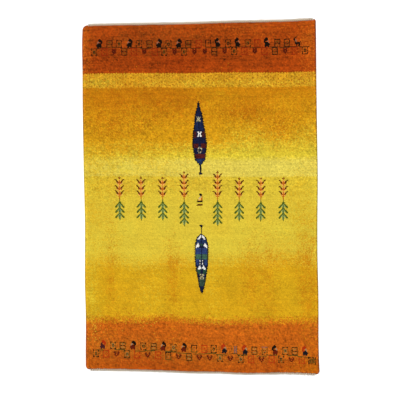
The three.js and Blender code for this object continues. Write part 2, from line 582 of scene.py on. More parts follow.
def clouds(shape: tuple[int, int], cells: tuple[int, int], seed: int) -> np.ndarray:
    """Smooth noise over the rows and columns of knots.

    Args:
        shape: The number of rows and columns.
        cells: How many lumps there are along and across.
        seed: The noise's fixed seed.

    Returns:
        Values from -1 to 1.
    """
    grid = np.random.default_rng(seed).uniform(-1, 1, (cells[0] + 2, cells[1] + 2))
    parts = []
    for count, cell in zip(shape, cells, strict=True):
        at = np.linspace(0, cell, count, endpoint=False)
        low = at.astype(int)
        share = at - low
        parts.append((low, share * share * (3 - 2 * share)))
    (row, down), (column, right) = parts
    down = down[:, None]
    upper = grid[row][:, column] * (1 - right) + grid[row][:, column + 1] * right
    lower = grid[row + 1][:, column] * (1 - right) + grid[row + 1][:, column + 1] * right
    return upper * (1 - down) + lower * down


@dataclass
class FieldShape:
    """The knotted field's uneven outline and surface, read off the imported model.

    A place on the rug is given by u from -1 at its left edge to 1 at its right, and v from -1 at
    its lower end to 1 at its upper one.

    Attributes:
        node: The field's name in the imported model.
        ground: How thick the woven ground is.
        straight: How much of each edge is read. The rest is taken up by the corners.
        readings: How often the edges are read, across and along.
        corners: The radius of each corner, by its side and its end.
        bow: Places along, and how far the rows of knots rise there at the right and fall at the
            left, more than the ends' own slope, in millimetres.
    """

    node: str = "pile_field"
    ground: float = 3 * MM
    straight: float = 0.93
    readings: tuple[int, int] = (81, 121)
    corners: dict[tuple[int, int], float] = field(
        default_factory=lambda: {(-1, -1): 13 * MM, (1, -1): 12 * MM, (1, 1): 5 * MM, (-1, 1): 20 * MM}
    )
    bow: tuple[tuple[float, float], ...] = (
        (-917, 0), (-840, -11), (-795, -11), (-650, -1), (-350, -2), (0, -3.5), (110, -5),
        (650, -7.5), (765, -9), (805, -9), (917, 0),
    )

    def __post_init__(self) -> None:
        """Feels for the edges with rays from outside, and keeps the field's half sizes."""
        mesh = bpy.data.objects[self.node].data
        self.tree = BVHTree.FromPolygons(
            [v.co for v in mesh.vertices], [p.vertices for p in mesh.polygons]
        )
        low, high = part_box(self.node)
        across, along = self.readings
        self.spots_across = np.linspace(self.straight * low.x, self.straight * high.x, across)
        self.spots_along = np.linspace(self.straight * low.y, self.straight * high.y, along)
        far = 2.0
        self.left = np.array([self._hit((-far, y), (1, 0)).x for y in self.spots_along])
        self.right = np.array([self._hit((far, y), (-1, 0)).x for y in self.spots_along])
        self.lower = np.array([self._hit((x, -far), (0, 1)).y for x in self.spots_across])
        self.upper = np.array([self._hit((x, far), (0, -1)).y for x in self.spots_across])
        self.half_across = float((self.right - self.left).mean()) / 2
        self.half_along = float((self.upper - self.lower).mean()) / 2

    def _hit(self, start: tuple[float, float], way: tuple[float, float]) -> Vector:
        """The first point of the flank that a level ray meets, at the height of the ground."""
        return self.tree.ray_cast(Vector((*start, self.ground)), Vector((*way, 0)))[0]

    def top(self, x: float, y: float) -> float | None:
        """The height of the clipped pile over a point, or None beside the rug."""
        found = self.tree.ray_cast(Vector((x, y, 1.0)), Vector((0, 0, -1)))[0]
        return None if found is None else found.z

    @staticmethod
    def _read(at: np.ndarray, spots: np.ndarray, values: np.ndarray) -> np.ndarray:
        """Reads an edge at any place, and follows its slope past its ends."""
        inside = np.interp(at, spots, values)
        first = (values[1] - values[0]) / (spots[1] - spots[0])
        last = (values[-1] - values[-2]) / (spots[-1] - spots[-2])
        return inside + first * np.minimum(at - spots[0], 0) + last * np.maximum(at - spots[-1], 0)

    def place(self, u: np.ndarray, v: np.ndarray) -> np.ndarray:
        """Where places of the true rectangle lie on the uneven rug.

        Args:
            u: Places across.
            v: Places along.

        Returns:
            Their x and y in metres, in the last axis.
        """
        along = v * self.half_along
        left = self._read(along, self.spots_along, self.left)
        right = self._read(along, self.spots_along, self.right)
        x = left + (right - left) * (u + 1) / 2
        lower = self._read(x, self.spots_across, self.lower)
        upper = self._read(x, self.spots_across, self.upper)
        y = lower + (upper - lower) * (v + 1) / 2
        rise = np.interp(y, *np.array(self.bow).T * MM)
        return np.stack((x, y + u * rise), -1)

    def spot(self, x: float, y: float) -> tuple[float, float]:
        """The u and v of a place on the rug, which is the way back from place."""
        u, v = x / self.half_across, y / self.half_along
        for _ in range(4):
            found = self.place(np.array(u), np.array(v))
            u += (x - found[0]) / self.half_across
            v += (y - found[1]) / self.half_along
        return float(u), float(v)

    def rounded(self, u: np.ndarray, v: np.ndarray) -> tuple[np.ndarray, np.ndarray]:
        """Draws the square corners of the true rectangle in to quarter discs."""
        x, y = u * self.half_across, v * self.half_along
        for (across, along), radius in self.corners.items():
            dx = across * x - (self.half_across - radius)
            dy = along * y - (self.half_along - radius)
            inside = (dx > 0) & (dy > 0)
            shrink = np.maximum(dx, dy) / np.maximum(np.hypot(dx, dy), 1e-9)
            x = np.where(inside, across * (self.half_across - radius + dx * shrink), x)
            y = np.where(inside, along * (self.half_along - radius + dy * shrink), y)
        return x / self.half_across, y / self.half_along


@dataclass(frozen=True)
class Lot:
    """A length of the field that is knotted from one lot of yarn, in millimetres.

    Attributes:
        dye: The yarn.
        start: Where it takes over from the lot above, from the middle of the rug.
        blend: The length over which it does so, knot by knot.
        streak: How much one row of knots differs from the next.
        mottle: The same for one hand's breadth.
        speckle: The same for one knot.
    """

    dye: Dye
    start: float
    blend: float
    streak: float
    mottle: float
    speckle: float


@dataclass(frozen=True)
class Patch:
    """A soft patch where knots of another dye are mixed in, in millimetres.

    Attributes:
        dye: The other yarn.
        across: Its middle, from the middle of the rug.
        along: The same the other way.
        wide: How far it reaches to each side.
        long: The same the other way.
        share: How much of it is in the patch's middle.
    """

    dye: Dye
    across: float
    along: float
    wide: float
    long: float
    share: float


@dataclass(frozen=True)
class Row:
    """A row of small figures across the rug, or of the steps of a thin line, in millimetres.

    Attributes:
        word: One letter for each figure, or - and _ for a step high and low.
        first: Where the first one's middle is, across.
        step: The way from one to the next.
        along: Where the row's lower edge is, at the middle of the rug.
        dyes: What the letters of the charts mean here, where x is the thin line.
    """

    word: str
    first: float
    step: float
    along: float
    dyes: dict[str, Dye]


@dataclass(frozen=True)
class Cypress:
    """A tree with a stepped outline, banded inside, in millimetres.

    Attributes:
        axis: Its middle line, across, at its upper and its lower end.
        outline: Rows of its place along and half its width.
        bands: Rows of where a band starts and stops along, its dye, and half the width of the
            darker stripe down its middle.
        figures: Rows of the middle of a small figure along, and its chart.
    """

    axis: tuple[float, float]
    outline: tuple[tuple[float, float], ...]
    bands: tuple[tuple[float, float, Dye, float], ...]
    figures: tuple[tuple[float, str], ...]


def charts(sheet: str) -> dict[str, tuple[str, ...]]:
    """Reads a sheet of charts.

    Args:
        sheet: Blocks of charts side by side, each under its name.

    Returns:
        The rows of each chart from the upper one, by its name.
    """
    found = {}
    for block in sheet.strip().split("\n\n"):
        for name, *rows in zip(*(line.split() for line in block.splitlines()), strict=True):
            found[name] = tuple(rows)
    return found


# The yarns from the upper end to the lower.
LOTS = (
    Lot(Dye.RUST, 1000, 0, 0.17, 0.19, 0.19),
    Lot(Dye.PALE_GOLD, 651, 0, 0.05, 0.12, 0.17),
    Lot(Dye.AMBER, 576, 6, 0.08, 0.13, 0.1),
    Lot(Dye.HONEY, 455, 150, 0.06, 0.12, 0.15),
    Lot(Dye.PRIMROSE, 266, 75, 0.05, 0.09, 0.15),
    Lot(Dye.STRAW, 204, 30, 0.07, 0.06, 0.11),
    Lot(Dye.OCHRE, 113, 0, 0.05, 0.1, 0.12),
    Lot(Dye.CORN, 20, 90, 0.045, 0.05, 0.055),
    Lot(Dye.GOLD, -324, 95, 0.05, 0.12, 0.07),
    Lot(Dye.ORANGE, -635, 55, 0.06, 0.09, 0.19),
    Lot(Dye.DEEP_ORANGE, -850, 120, 0.06, 0.12, 0.2),
)

PATCHES = (
    Patch(Dye.CHESTNUT, -250, 830, 320, 100, 0.5),
    Patch(Dye.CHESTNUT, 250, 800, 260, 40, 0.2),
    Patch(Dye.DEEP_RUST, -150, 715, 260, 45, 0.6),
    Patch(Dye.RUST, 100, 700, 160, 40, 0.3),
    Patch(Dye.ORANGE, -598, 790, 30, 150, 0.7),
    Patch(Dye.ORANGE, 575, 800, 45, 140, 0.6),
    Patch(Dye.ORANGE, 280, 885, 330, 45, 0.2),
    Patch(Dye.PRIMROSE, -580, 604, 60, 22, 0.4),
    Patch(Dye.PRIMROSE, -455, 600, 55, 20, 0.4),
    Patch(Dye.PRIMROSE, -240, 600, 60, 18, 0.3),
    Patch(Dye.PRIMROSE, -40, 598, 70, 16, 0.35),
    Patch(Dye.PRIMROSE, 330, 598, 300, 16, 0.25),
    Patch(Dye.AMBER, -360, 606, 60, 30, 0.4),
    Patch(Dye.HONEY, 105, 495, 85, 85, 0.75),
    Patch(Dye.HONEY, -460, 250, 270, 52, 0.85),
    Patch(Dye.PRIMROSE, 380, 275, 260, 38, 0.55),
    Patch(Dye.DEEP_ORANGE, -330, -690, 280, 70, 0.4),
    Patch(Dye.RUST, 440, -862, 190, 50, 0.6),
    Patch(Dye.RUST, -310, -868, 130, 50, 0.5),
    Patch(Dye.HAZEL, -300, -795, 330, 50, 0.45),
    Patch(Dye.HAZEL, 180, -825, 400, 30, 0.15),
    Patch(Dye.BURNT, -171, 493, 150, 75, 0.6),
    Patch(Dye.BURNT, -400, 530, 180, 60, 0.5),
    Patch(Dye.BURNT, -430, 385, 170, 65, 0.5),
    Patch(Dye.BURNT, 400, 470, 160, 100, 0.25),
    Patch(Dye.PRIMROSE, 570, 325, 60, 50, 0.4),
    Patch(Dye.BURNT, 204, 451, 100, 42, 0.6),
    Patch(Dye.BURNT, 386, 373, 90, 55, 0.4),
    Patch(Dye.HONEY, 470, 500, 120, 60, 0.6),
    Patch(Dye.PRIMROSE, 282, 321, 130, 50, 0.3),
    Patch(Dye.OCHRE, -480, 160, 290, 60, 0.65),
    Patch(Dye.PALE_GOLD, -150, 75, 170, 42, 0.3),
    Patch(Dye.PALE_GOLD, -440, 55, 120, 45, 0.3),
    Patch(Dye.GOLD, 530, -100, 70, 220, 0.4),
    Patch(Dye.GOLD, -575, -20, 45, 200, 0.4),
    Patch(Dye.HONEY, 412, -320, 110, 42, 0.5),
    Patch(Dye.HONEY, 256, -385, 62, 110, 0.5),
    Patch(Dye.HONEY, -150, -350, 60, 70, 0.4),
    Patch(Dye.GOLD, -480, -190, 70, 280, 0.25),
    Patch(Dye.AMBER, -473, -430, 24, 200, 0.45),
    Patch(Dye.AMBER, -150, -440, 28, 170, 0.6),
    Patch(Dye.AMBER, 256, -450, 40, 170, 0.35),
    Patch(Dye.PRIMROSE, -572, -480, 34, 170, 0.35),
    Patch(Dye.PRIMROSE, 50, -450, 45, 130, 0.2),
    Patch(Dye.PRIMROSE, -280, -490, 90, 120, 0.15),
    Patch(Dye.AMBER, 350, -440, 34, 190, 0.45),
    Patch(Dye.AMBER, 555, -410, 46, 220, 0.7),
    Patch(Dye.BURNT, 560, -870, 90, 60, 0.7),
)

CHART_DYES = {
    "k": Dye.SOOT, "e": Dye.OLIVE, "s": Dye.SAGE, "u": Dye.UMBER, "m": Dye.GARNET, "d": Dye.DIM_RED,
    "o": Dye.EAR, "p": Dye.PEACH, "t": Dye.TEAL, "g": Dye.LEAF, "f": Dye.MOSS, "w": Dye.IVORY,
    "c": Dye.CREAM, "q": Dye.MAUVE,
}

# The weaver's charts, each under its name, with one letter for each knot and a dot for none.
# In a beast h, n and b are its head, neck and body.
SHEET = """
gap
....pop....

bud          tip          foot
.....u.....  .....t.....  ....gtg....
....uou....  .....t.....  .....t.....
.....u.....  ....ttt....  .....t.....

dots  low_peaks    leaves     stem
w..w  ...w...w...  ...w.w...  ....ooo....
w..c  ..ww...ww..  ..ww.ww..  .....o.....
....  ..www.www..  .www.www.  .....o.....
c..w  .wwww.wwww.  .ww...ww.  .....o.....
w..w  .ww.....ww.  ww.....ww  .....s.....

star   posts  cream_star  peaks            ear          leaf
c.c.c  ww.ww  cc.cs       ...w.......w...  uu...p...uu  ....ttt....
.c.c.  .w.w.  s..cc       ..ww..fff..ww..  .uu.pop.uu.  ...ttgtt...
.ccc.  .www.  .scs.       ..www.fff.www..  ..uupopuu..  ..ttgtgtt..
.scs.  .w.w.  .csc.       .wwww..f..wwww.  ..uuooouu..  .ttggtggtt.
cc.cc  cw.wc  cs..c       .www.......www.  ..puoooup..  ttt.gtg.ttt
s.f.s  ww.ww  cc.cc       .w...........w.  ...ppopp...  tt..gtg..tt

knot_star
.c.s.
cc.cc
s.k.c
..f..
c.k.s
.s.c.
.c.c.

H      Y
mm.mm  .m...m.
mmmmm  mmm.mmm
mmkmm  mk.m.km
mk.km  .mkdkm.
mmkmm  .mm.mm.
.mmm.  ..mkm..
..m..  ...m...
.....  .......

S        T        U        C        f        P        Q        B
kke.ekk  ekkekke  kkee.kk  kkkkkkk  ddddddd  e.eq.qk  qqqqqqq  kkk.kkk.k
e.....e  e.....e  k.....k  k.....k  d.....d  ...q.q.  ......e  k.e.e.e.k
e.s.s.e  e.sss.k  e..s..e  k.....k  d.....d  e..q.q.  e.sss.e  keeekeeek
..sks..  k.....e  e.kek..  k..k..k  d..d..d  ...q.qe  e.....e  ..e.e.e..
e.k.k.e  ekkekke  ..e.e.e  e.....k  ..d.d..  e..qqq.  e.k.k..  kkkekkkek
..sks..  e.....k  e.kek.e  e..s...  d..d..d  ...q.qe  e...s.e  k.e.e.e..
e.s.s.e  k.sss.e  e..s...  e.....e  d.....d  e..q.q.  ..sk..e  keeekeeek
e.....e  e.....e  k.....k  e.....e  d.....d  ...q.q.  e......  k.e...e.k
kke.ekk  ekkekke  kk.eekk  eeeeeee  ddddddd  kkeeekk  kke..ee  kk.kkk.kk

A        D
...hh..  ..hh.....
..hhhh.  .h.......
..hhhhh  hh.......
..nhhhh  hhnn.....
.nn..hh  .hnn.....
.nbbhhh  ..bn....b
.bbbbh.  ..bbbbbb.
bbbbbb.  ..bbbbbb.
bbbbbb.  ...bb.bb.
.bbbbb.  ...b..bb.
.bb.bb.  ...b...b.

foal
...kkk..
...kkkk.
....ku..
....cpo.
...cc.o.
..pcpoo.
..c.poo.
.kpp.ok.
.kkkkkk.
kkkkkkk.
........
........
.uuuuuu.
uuuuuuu.
"""

UPPER_DYES = {"h": Dye.SOOT, "n": Dye.DUSTY, "b": Dye.SOOT, "e": Dye.BARK, "s": Dye.OLIVE}
LOWER_DYES = {"h": Dye.SOOT, "n": Dye.SAND, "b": Dye.GARNET, "d": Dye.RED, "m": Dye.DEEP_GARNET}
NAVY_BEASTS = {"h": Dye.RED, "n": Dye.SAND, "b": Dye.INK}
PLUM_BEASTS = {"h": Dye.RED, "n": Dye.PLUM, "b": Dye.PLUM}

FRIEZES = (
    Row("ATSAUTAUATfCVUVSfVTTD", -528, 51.4, 778, UPPER_DYES),
    Row("SfHTfHfSHSHHTHSfHfTHfU", -557, 52.3, 738, UPPER_DYES),
    Row("ESTAUTASACfUWPWTQVSTW", -512, 52.8, -815, LOWER_DYES),
    Row("UfYSfYfCYTYYSYSfYfUYfB", -546, 53.7, -856, LOWER_DYES),
)

RAILS = (
    Row("_--_-_.-_-_.-_--_.-_-_", -550, 52, 778, {"x": Dye.UMBER}),
    Row("_.-._-.-_._-_.-._-.-_.", -530, 53, -817, {"x": Dye.OLIVE}),
)

CYPRESSES = (
    Cypress(
        axis=(-14, -1),
        outline=(
            (498, 3), (467, 9), (436, 17), (406, 22), (376, 25), (346, 31), (316, 34), (286, 37),
            (256, 36), (227, 31), (200, 28), (192, 25), (166, 5), (163, 3), (134, 3), (132, 5),
            (118, 10),
        ),
        bands=(
            (395, 350, Dye.DEEP_BLUE, 5),
            (343, 308, Dye.PLUM, 14),
            (278, 257, Dye.MAROON, 5),
            (224, 200, Dye.MAROON, 0),
            (196, 170, Dye.SLATE, 0),
        ),
        figures=((402, "star"), (325, "posts"), (241, "knot_star")),
    ),
    Cypress(
        axis=(2, 5),
        outline=(
            (-143, 9), (-155, 6), (-157, 2), (-187, 3), (-193, 8), (-205, 20), (-219, 28),
            (-249, 35), (-309, 35), (-350, 33), (-378, 30), (-401, 25), (-429, 21), (-462, 15),
            (-490, 9), (-506, 3),
        ),
        bands=(
            (-217, -244, Dye.SLATE, 2),
            (-266, -298, Dye.BLUE, 2),
            (-298, -324, Dye.FERN, 2),
            (-324, -356, Dye.BLUE, 15),
            (-375, -401, Dye.MOSS, 7),
            (-428, -466, Dye.DEEP_TEAL, 0),
        ),
        figures=(
            (-212, "leaves"), (-256, "peaks"), (-341, "dots"), (-368, "low_peaks"),
            (-416, "cream_star"),
        ),
    ),
)

# Where the inner sprig of each side stands across, and the way from it to the next one outwards.
SPRIGS = ((-89, -111.5), (86, 114))
SPRIGS_A_SIDE = 4

# Where the sprigs' ears and leaves meet, along.
SPRIG_JOINT = -22

# Where the foal's middle is across, and where its upper edge is along.
FOAL = (-5, 17)


@dataclass
class KnotPlan:
    """The dye of every knot, as rows from the lower end and columns from the left, in millimetres.

    Attributes:
        shape: The field that the knots are on.
        pitch: The way from one knot to the next.
        pale_band: Where the flecked band starts and stops along.
        fleck_step: The columns and the rows from one fleck to the next.
        fleck_share: How many of the flecks are knotted.
        patch_edge: How fast a patch fades from its middle.
        figure_spread: How much a knot of a figure differs from the next in lightness.
        tree_spread: The same in a tree.
        tree_rim: How many knots wide a tree's dark rim is.
        tree_heart: Half the width from which a tree is banded inside.
        tree_step: Half the width from which its rows step in and out.
        seed: The fixed seed of all that is left to chance.
    """

    shape: FieldShape
    pitch: float = 4.5
    pale_band: tuple[float, float] = (582, 645)
    fleck_step: tuple[int, int] = (3, 4)
    fleck_share: float = 0.85
    patch_edge: float = 0.8
    figure_spread: float = 0.08
    tree_spread: float = 0.45
    tree_rim: float = 1.3
    tree_heart: float = 8
    tree_step: float = 12
    seed: int = 7

    def __post_init__(self) -> None:
        """Counts the knots and colours them: the lots first, then the yarn, then the figures."""
        self.charts = charts(SHEET)
        wide, long = self.shape.half_across / MM, self.shape.half_along / MM
        self.rows = round(2 * long / self.pitch)
        self.columns = round(2 * wide / self.pitch)
        self.u = (2 * np.arange(self.columns) + 1) / self.columns - 1
        self.v = (2 * np.arange(self.rows) + 1) / self.rows - 1
        self.across, self.along = np.meshgrid(self.u * wide, self.v * long)
        self.chance = np.random.default_rng(self.seed)
        self.colour = np.zeros((self.rows, self.columns, 3))
        self.habit = np.zeros((self.rows, self.columns, 3))
        self._lots()
        self._flecks()
        self._patches()
        self._yarn()
        for row in FRIEZES:
            self._frieze(row)
        for row in RAILS:
            self._rail(row)
        self._sprigs()
        for tree in CYPRESSES:
            self._cypress(tree)
        self.paint("foal", *FOAL)

    def _clouds(self, lumps_along: int, lumps_across: int, seed: int) -> np.ndarray:
        """Smooth noise over all the knots."""
        return clouds((self.rows, self.columns), (lumps_along, lumps_across), self.seed + seed)

    def _lots(self) -> None:
        """Knots the field from lot to lot, with ragged or toothed changes between them."""
        dice = self.chance.random((self.rows, self.columns))
        teeth = (np.arange(self.columns) % 3 == 0) * self.pitch
        waver = self._clouds(6, 9, 1) * 0.25
        for lot in LOTS:
            if lot.blend:
                share = (lot.start - self.along) / lot.blend + 0.5 + waver
            else:
                share = 1.0 * (self.along < lot.start - teeth)
            share = (0.5 * share.clip(0, 1) + 0.5 * (dice < share))[..., None]
            self._blend(share, lot.dye)
            self.habit += ((lot.streak, lot.mottle, lot.speckle) - self.habit) * share

    def _flecks(self) -> None:
        """Sets single brown knots in the pale band, in loose staggered rows."""
        band = (self.along > self.pale_band[0]) & (self.along < self.pale_band[1])
        row, column = np.indices(band.shape)
        right, down = self.fleck_step
        shift = (column // right * 2 + self._clouds(60, 60, 2) * 1.5).astype(int)
        spot = (column % right == 0) & ((row + shift) % down == 0)
        chosen = band & spot & (self.chance.random(band.shape) < self.fleck_share)
        self.colour[chosen] = Dye.FLECK.linear

    def _patches(self) -> None:
        """Mixes other dyes in where the real field has them."""
        grain = 0.8 + 0.4 * self._clouds(70, 50, 3)
        for patch in PATCHES:
            x = (self.across - patch.across) / patch.wide
            y = (self.along - patch.along) / patch.long
            fall = np.exp(-(x * x + y * y) * self.patch_edge)
            share = np.clip(patch.share * fall * grain, 0, 1)
            dither = (self.chance.random(share.shape) < share) * 0.5 + share * 0.5
            self._blend(dither[..., None], patch.dye)

    def _blend(self, share: np.ndarray, dye: Dye) -> None:
        """Brings the knots nearer to a dye by a share each."""
        self.colour += (dye.linear - self.colour) * share

    def _yarn(self) -> None:
        """Adds what hand-dyed yarn does: streaks by the row, clouds, and no two knots alike."""
        streak = self._clouds(self.rows, 7, 4) + 0.6 * self._clouds(self.rows // 3, 5, 5)
        mottle = 0.4 * self._clouds(13, 8, 6) + 0.4 * self._clouds(34, 24, 7)
        mottle += 0.5 * self._clouds(90, 62, 9)
        speckle = self.chance.normal(0, 1, mottle.shape).clip(-2.5, 2.5)
        speckle = 0.7 * speckle + 0.45 * np.roll(speckle, 1, 1) + 0.35 * np.roll(speckle, 1, 0)
        tone = 1 + (self.habit * np.dstack((streak, mottle, speckle))).sum(-1, keepdims=True)
        warmth = self._clouds(22, 12, 8)[..., None] * np.array((0.0, 0.04, 0.1))
        self.colour *= tone * (1 + warmth)

    def knot_at(self, x: float, y: float) -> tuple[float, float]:
        """The row and column of a place on the rug, with their fractions."""
        u, v = self.shape.spot(x * MM, y * MM)
        return (v + 1) / 2 * self.rows - 0.5, (u + 1) / 2 * self.columns - 0.5

    def paint(
        self,
        chart: str | tuple[str, ...],
        across: float,
        upper: float,
        dyes: dict[str, Dye] | None = None,
        row: int | None = None,
    ) -> None:
        """Knots a chart.

        Args:
            chart: Its name, or its rows from the upper one.
            across: Where its middle is, across.
            upper: Where its upper edge is, along.
            dyes: Letters that mean something else here.
            row: The row of knots of its upper edge, where that is known.
        """
        lines = self.charts[chart] if isinstance(chart, str) else chart
        known = CHART_DYES | (dyes or {})
        found, column = self.knot_at(across, upper)
        first = round(found) if row is None else row
        left = round(column - (len(lines[0]) - 1) / 2)
        for down, line in enumerate(lines):
            for right, letter in enumerate(line):
                if letter != "." and 0 <= left + right < self.columns:
                    single = 1 + self.chance.normal(0, self.figure_spread)
                    self.colour[first - down, left + right] = known[letter].linear * single

    def _frieze(self, row: Row) -> None:
        """Knots a row of figures on one row of knots: E, V and W are beasts, dyed or turned."""
        base = round(self.knot_at(0, row.along)[0])
        for count, letter in enumerate(row.word):
            dyes = row.dyes | {"E": PLUM_BEASTS, "W": NAVY_BEASTS}.get(letter, {})
            chart = self.charts["A" if letter in "EVW" else letter]
            if letter in "VW":
                chart = tuple(line[::-1] for line in chart)
            self.paint(chart, row.first + count * row.step, row.along, dyes, base + len(chart))

    def _rail(self, row: Row) -> None:
        """Knots a thin stepped line, broken at each dot."""
        base = round(self.knot_at(0, row.along)[0])
        chart = ("x" * round(row.step / self.pitch),)
        for count, letter in enumerate(row.word):
            if letter != ".":
                high = base + (letter == "-")
                self.paint(chart, row.first + count * row.step, row.along, row.dyes, high)

    def _sprigs(self) -> None:
        """Knots the row of sprigs, the two inner ones taller."""
        joint = round(self.knot_at(0, SPRIG_JOINT)[0])
        part = self.charts
        for inner, step in SPRIGS:
            for count in range(SPRIGS_A_SIDE):
                across = inner + count * step
                tiers = 3 if count else 4
                ear = part["bud"]
                for tier in range(tiers):
                    ear += part["gap"] * (tier % 2) + part["ear"]
                ear += part["stem"]
                leaf = part["tip"] + part["leaf"] * tiers + part["foot"]
                self.paint(ear, across, 0, None, joint + len(ear))
                self.paint(leaf, across, 0, None, joint)

    def _cypress(self, tree: Cypress) -> None:
        """Knots a tree: its outline and bands by the row, then the figures inside it."""
        places = np.array(tree.outline)[::-1]
        high, low = places[-1][0], places[0][0]
        upper, lower = tree.axis
        first = math.ceil(self.knot_at(0, low)[0])
        last = math.floor(self.knot_at(0, high)[0])
        for row in range(first, last + 1):
            share = (row - first) / (last - first)
            along = low + (high - low) * share
            half = np.interp(along, places[:, 0], places[:, 1])
            column = self.knot_at(lower + (upper - lower) * share, along)[1]
            away = np.abs(np.arange(self.columns) - column) * self.pitch
            rim = half + (row % 2) * 0.5 * self.pitch * (half > self.tree_step)
            dye, core = next(
                (band[2:] for band in tree.bands if band[1] < along <= band[0]), (Dye.NAVY, 0)
            )
            heart = (away < rim - self.tree_rim * self.pitch) & (half > self.tree_heart)
            for inside, yarn in ((away < rim, Dye.INK), (heart, Dye.NAVY), (heart & (away >= core), dye)):
                knots = (int(inside.sum()), 1)
                spread = 1 + self.chance.uniform(-self.tree_spread, self.tree_spread, knots)
                self.colour[row, inside] = yarn.linear * spread
        for along, chart in tree.figures:
            middle = lower + (upper - lower) * (along - low) / (high - low)
            self.paint(chart, middle, along + len(self.charts[chart]) / 2 * self.pitch)

    def colour_near(self, u: np.ndarray, v: np.ndarray) -> np.ndarray:
        """The mean dye of the knots round some places, as linear colours."""
        soft = self.colour
        for axis in (0, 1):
            soft = (np.roll(soft, 1, axis) + soft + np.roll(soft, -1, axis)) / 3
        row = ((v + 1) / 2 * self.rows - 0.5).round().astype(int).clip(1, self.rows - 2)
        column = ((u + 1) / 2 * self.columns - 0.5).round().astype(int).clip(1, self.columns - 2)
        return soft[row, column]


@dataclass
class Pile:
    """The clipped pile: a leaning tuft of wool on each knot, in strips that run along the rug.

    Inside the rug the tufts stand so close that only their crowns show, so each one there is an
    open dome that overlaps its neighbours. The outer rows have whole tufts, down to their knots.

    Attributes:
        plan: The knots and their dyes.
        strips: How many pieces the pile is made in.
        folds: How many lengths a strip is laid out in, side by side in its image.
        sides: How many sides a whole tuft has.
        inner_sides: The same for a dome.
        outer_rows: How many rows of whole tufts there are, all round.
        crown: Half the width of a tuft's crown.
        crown_height: How tall a dome is.
        crown_lean: How much of a tuft's lean lies within the height of its dome.
        crown_root: What is stored as "tip" at a dome's lower edge, which sets how dark the wool's painted
            root shade is there.
        top: How much of the crown's width a whole tuft's top has.
        foot: Half the width of a whole tuft at its knot.
        swell: How wide the thinnest and the thickest tuft are beside the usual one.
        droop: How far the rim of a whole tuft's top lies below the middle, as a share of its height.
        tilt: How far a tuft is turned from upright at most, in radians.
        disc: How large a tuft is laid out in its cell of the image.
        root_depth: How deep the roots are in the ground.
        shift: How far a tuft stands from its place.
        clip: How uneven the tops are cut.
        nap: How far the tops lean towards the lower end.
        sway: How much that changes from one place to another.
        stray: The same from one tuft to the next.
        flare: How far the outermost tops lean outwards instead, across and along.
        flare_reach: How far from the edge that starts.
        finish: The wool.
    """

    plan: KnotPlan
    strips: int = 5
    folds: int = 3
    sides: int = 8
    inner_sides: int = 7
    outer_rows: int = 2
    crown: float = 4.1 * MM
    crown_height: float = 2.8 * MM
    crown_lean: float = 0.35
    crown_root: float = 0.4
    top: float = 0.9
    foot: float = 2.0 * MM
    swell: tuple[float, float] = (0.9, 1.12)
    droop: float = 0.16
    tilt: float = 0.2
    disc: float = 0.46
    root_depth: float = 0.4 * MM
    shift: float = 0.4 * MM
    clip: float = 0.7 * MM
    nap: float = 3.2 * MM
    sway: float = 0.9 * MM
    stray: float = 0.5 * MM
    flare: tuple[float, float] = (1.2 * MM, 0.0)
    flare_reach: float = 12 * MM
    finish: PileWool = PileWool()

    def _tuft(self, made: Recipe, cone: dict[str, Value], droop: Value, lowest: float) -> Signal:
        """One tuft of height 1, smooth and mapped to a disc with its crown in the middle.

        Args:
            made: The tree it is added to.
            cone: The cone's sides and radii. It is open at its lower end, and at a pointed top.
            droop: How far the rim of its top lies below the middle.
            lowest: What is stored as "tip" at its bottom, where 1 is the crown.

        Returns:
            The tuft.
        """
        fill = "TRIANGLE_FAN" if cone["Radius Top"] else "NONE"
        tuft = made.node("GeometryNodeMeshCone", {"fill_type": fill}, cone | {"Depth": 1.0})
        under = Signal(made, tuft.socket.node.outputs["Bottom"])
        inputs = {"Geometry": tuft, "Selection": under}
        tuft = made.node("GeometryNodeDeleteGeometry", {"domain": "FACE"}, inputs)
        position = made.node("GeometryNodeInputPosition")
        height = made.part(position, "Z")
        flat = made.vector("MULTIPLY", position, (1.0, 1.0, 0.0))
        ring = made.stretched(made.vector("NORMALIZE", flat), self.disc - self.disc / 2 * height)
        # tip runs from the root up to the crown. The wool paints shade from it, darkest at the root.
        tuft = made.store(tuft, "tip", height * (1 - lowest) + lowest)
        tuft = made.store(tuft, "spot", ring)
        away = made.vector("LENGTH", flat, out="Value")
        return made.moved(tuft, made.combined(0.0, 0.0, droop * height * away * (-1 / self.crown)))

    def recipe(self) -> Recipe:
        """The tree that stands a tuft on each point, turned at random and leaning with the nap."""
        values = {"Crown": self.crown, "Foot": self.foot, "Droop": self.droop, "Tilt": self.tilt}
        made = Recipe("clipped_tufts", values | {"Seed": 0, "Wide": 1.0, "Long": 1.0})
        crown, foot, droop, tilt, seed, wide, long = (made.given(name) for name in made.values)
        swell = made.random(*self.swell, seed)
        turns = made.combined(
            made.random(-1.0, 1.0, seed + 1) * tilt,
            made.random(-1.0, 1.0, seed + 2) * tilt,
            made.random(0.0, math.tau, seed + 3),
        )
        size = made.combined(swell, swell, made.stored("tall"))
        outer = made.stored("outer")
        dome = {"Vertices": self.inner_sides, "Radius Top": 0.0, "Radius Bottom": crown}
        whole = {"Vertices": self.sides, "Radius Top": crown * self.top, "Radius Bottom": foot}
        stood = [
            made.stood(made.given(), tuft, Selection=chosen, Rotation=turns, Scale=size)
            for tuft, chosen in (
                (self._tuft(made, dome, 0.0, self.crown_root), 1 - outer),
                (self._tuft(made, whole, droop, 0.0), outer),
            )
        ]
        lean = made.stretched(made.stored("lean"), made.stored("tip"))
        leaning = made.moved(made.real(made.joined(stood)), lean)
        cell = made.combined(wide, long, 0.0)
        laid = made.vector("MULTIPLY", made.stored("spot"), cell)
        laid = made.vector("ADD", laid, made.stored("cell"))
        mapped = made.store(leaning, "OFBake", laid, "CORNER")
        mapped = made.without(mapped, "spot", "outer", "cell", "tall", "lean")
        made.close(mapped, self.finish.material())
        return made

